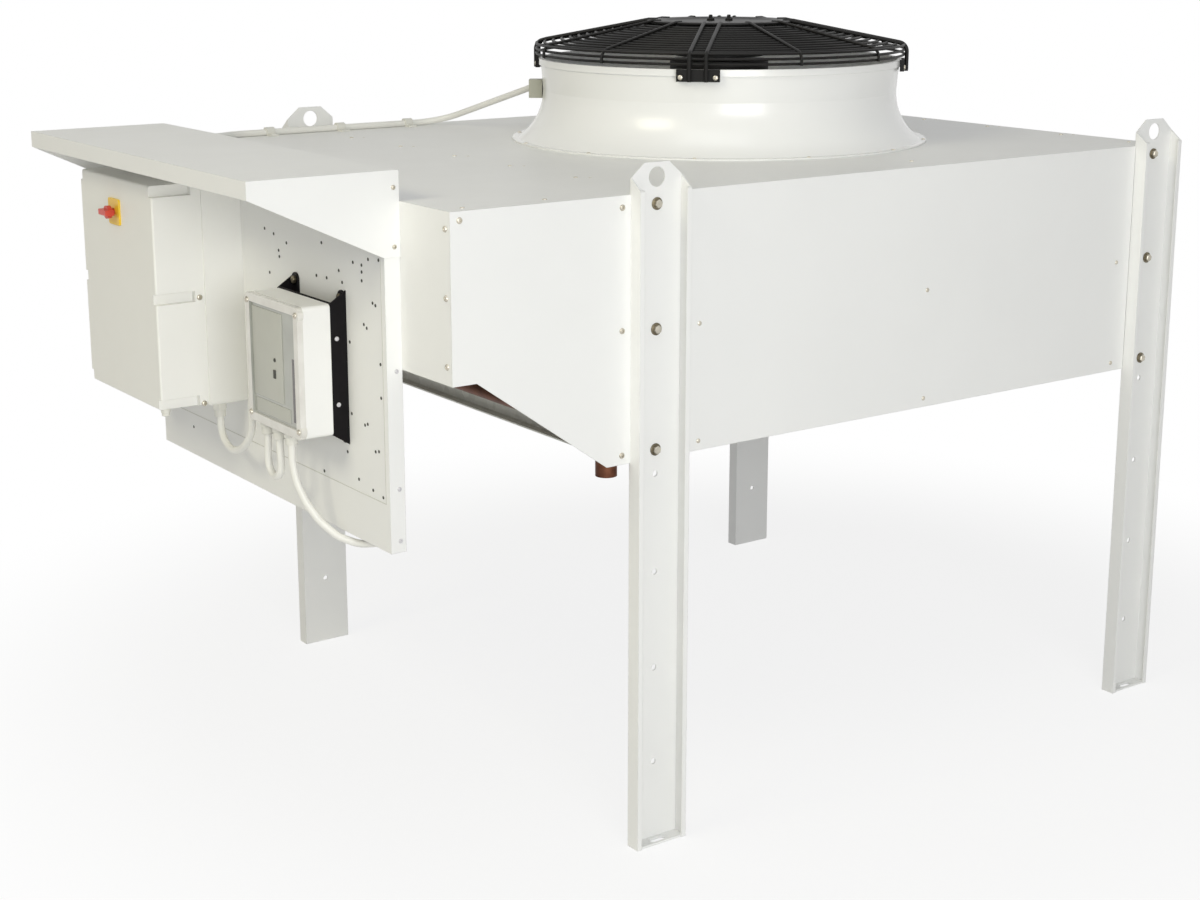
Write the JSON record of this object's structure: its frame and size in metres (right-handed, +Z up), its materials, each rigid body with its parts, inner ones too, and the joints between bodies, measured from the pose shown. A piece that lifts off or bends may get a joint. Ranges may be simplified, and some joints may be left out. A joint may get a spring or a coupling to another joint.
{
  "type": "air-cooled condenser",
  "caption": "Air-cooled condenser: flat finned coil in a sheet-metal casing on tall channel legs, with a guarded upward-blowing fan, open pipe compartment and hooded electrical panel.",
  "frame": {"origin": "on the ground, in the middle of the four foot slots and below the fan's axis", "axes": "+X along the casing, away from the pipe and control end; -Y towards the front face; +Z up"},
  "size_m": [1.482, 0.966, 1.058],
  "materials": {
    "casing_paint": "satin powder coat",
    "galvanised_sheet": "zinc coated",
    "fin_aluminium": "bare fins",
    "copper": "dark oxidised copper",
    "nozzle_paint": "satin powder coat",
    "guard_black": "black coating",
    "fan_black": "black coating",
    "box_plastic": "moulded",
    "clear_cover": "clear moulded cover",
    "bracket_black": "anodised black",
    "switch_yellow": "moulded",
    "switch_red": "moulded",
    "gland_plastic": "moulded",
    "cable_white": "smooth sheath"
  },
  "bodies": {
    "unit": {"back_panel": "casing_paint", "cable_clip_1": "gland_plastic", "cable_clip_2": "gland_plastic", "cable_clip_3": "gland_plastic", "coil_block": "fin_aluminium", "control_panel": "casing_paint", "controller_bracket": "bracket_black", "controller_cover": "clear_cover", "controller_housing": "box_plastic", "enclosure_base": "box_plastic", "enclosure_lid": "box_plastic", "end_panel": "casing_paint", "fan_cable": "cable_white", "fan_guard": "guard_black", "fan_motor": "fan_black", "fan_nozzle": "nozzle_paint", "fan_terminal": "gland_plastic", "front_panel": "casing_paint", "gas_header": "copper", "gland_controller_1": "gland_plastic", "gland_controller_2": "gland_plastic", "gland_controller_3": "gland_plastic", "gland_controller_4": "gland_plastic", "gland_enclosure": "gland_plastic", "guard_foot_1": "guard_black", "guard_foot_2": "guard_black", "guard_foot_3": "guard_black", "guard_foot_4": "guard_black", "header_back_cover": "casing_paint", "header_end_panel": "casing_paint", "header_front_cover": "casing_paint", "leg_back_left": "casing_paint", "leg_back_right": "casing_paint", "leg_front_left": "casing_paint", "leg_front_right": "casing_paint", "link_cable": "cable_white", "liquid_header": "copper", "loop_cable": "cable_white", "panel_canopy": "casing_paint", "panel_rail_back": "galvanised_sheet", "panel_rail_front": "galvanised_sheet", "switch_plate": "switch_yellow", "top_plate": "casing_paint", "tube_sheet_left": "galvanised_sheet", "tube_sheet_right": "galvanised_sheet"},
    "fan": {"fan_impeller": "fan_black"},
    "switch": {"switch_handle": "switch_red"}
  },
  "joints": [
    {"name": "fan_spin", "type": "hinge", "parent": "unit", "child": "fan", "pos_m": [0, 0, 0.945], "axis": [0, 0, 1], "continuous": true},
    {"name": "switch_turn", "type": "hinge", "parent": "unit", "child": "switch", "pos_m": [-0.93, 0.1775, 0.808], "axis": [-1, 0, 0], "range_deg": [0, 90]}
  ]
}
